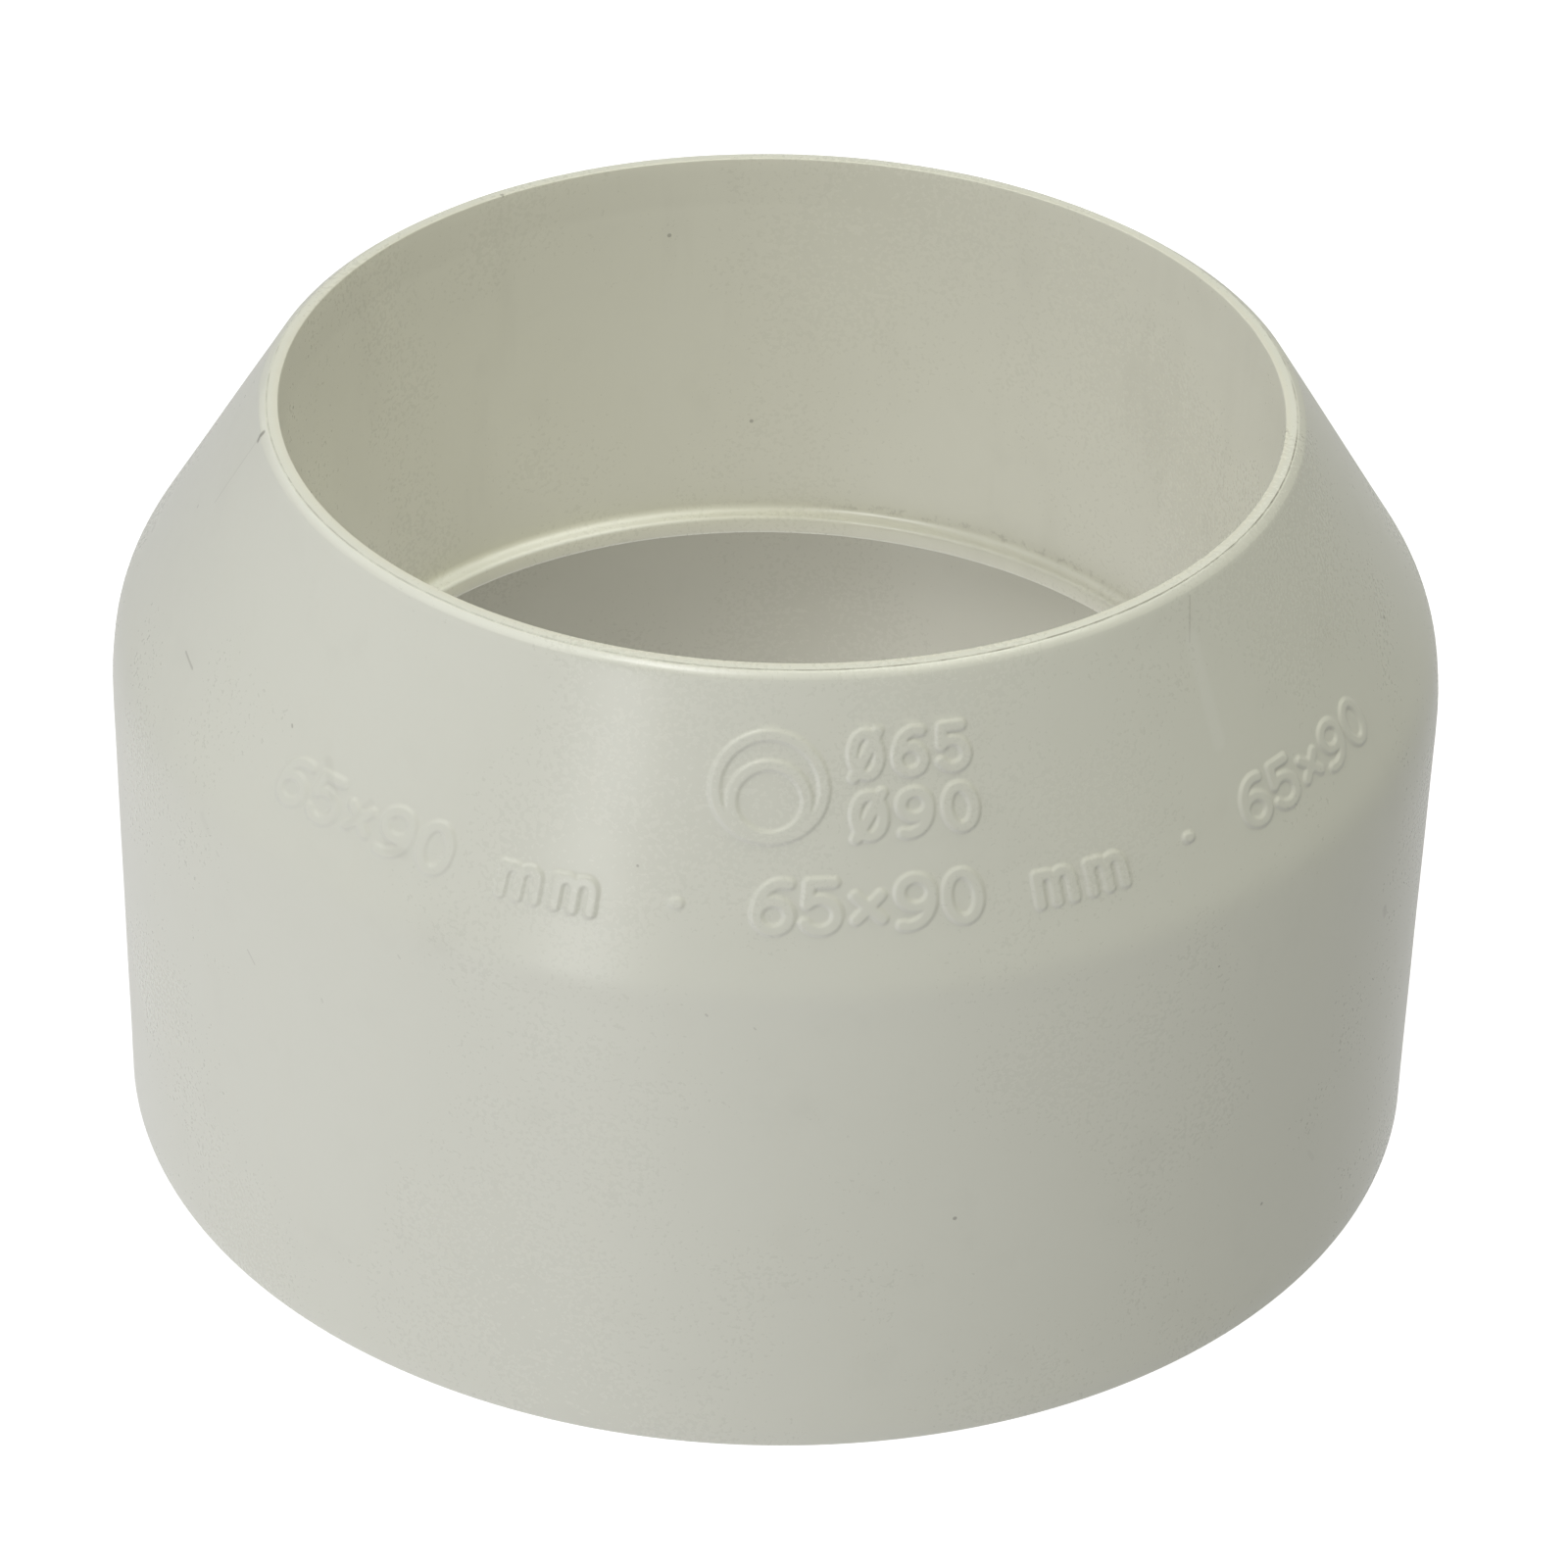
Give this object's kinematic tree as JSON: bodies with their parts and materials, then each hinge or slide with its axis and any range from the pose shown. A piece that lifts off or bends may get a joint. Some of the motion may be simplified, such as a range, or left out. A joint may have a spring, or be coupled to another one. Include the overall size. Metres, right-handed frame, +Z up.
{
  "type": "eccentric reducer",
  "caption": "PVC pipe reducer: a wide cylindrical socket at the bottom, a tapering cone above it, and a narrow off-centre sleeve socket that hangs inside from the cone's rim.",
  "frame": {"origin": "On the wide socket's axis, level with its mouth, which is the face the part stands on", "axes": "+Z up along both sockets' axes, from the wide mouth to the narrow one; the narrow socket's axis stands off toward -Y; +X to the right"},
  "size_m": [0.0972, 0.0972, 0.0615],
  "materials": {
    "pvc_cream_grey": "satin moulded, slightly scuffed"
  },
  "bodies": {
    "root": {"reducer_body": "pvc_cream_grey"}
  },
  "joints": []
}
